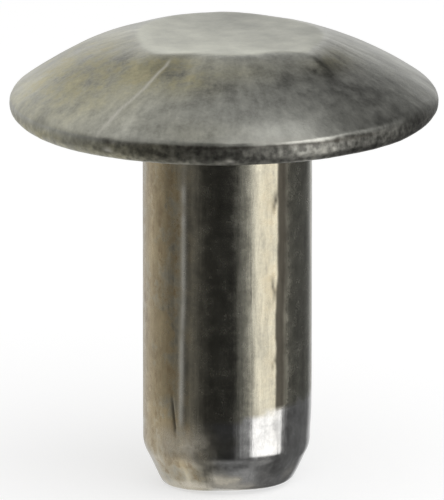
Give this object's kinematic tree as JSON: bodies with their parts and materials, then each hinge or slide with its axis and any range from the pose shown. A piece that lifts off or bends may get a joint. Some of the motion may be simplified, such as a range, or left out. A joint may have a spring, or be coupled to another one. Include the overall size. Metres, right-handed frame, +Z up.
{
  "type": "brazier head rivet",
  "caption": "Solid steel rivet with a wide, low domed head flattened at the crown, a plain round shank and a tapered tail.",
  "frame": {"origin": "on the shank's axis, at the flat end of the tail, which the rivet stands on", "axes": "+Z up the shank's axis, from the tail end to the crown of the head"},
  "size_m": [0.0161, 0.016, 0.0173],
  "materials": {
    "rivet_steel": "bare steel, satin, aged, with brownish stains and fine draw lines along the shank"
  },
  "bodies": {
    "root": {"rivet": "rivet_steel"}
  },
  "joints": []
}
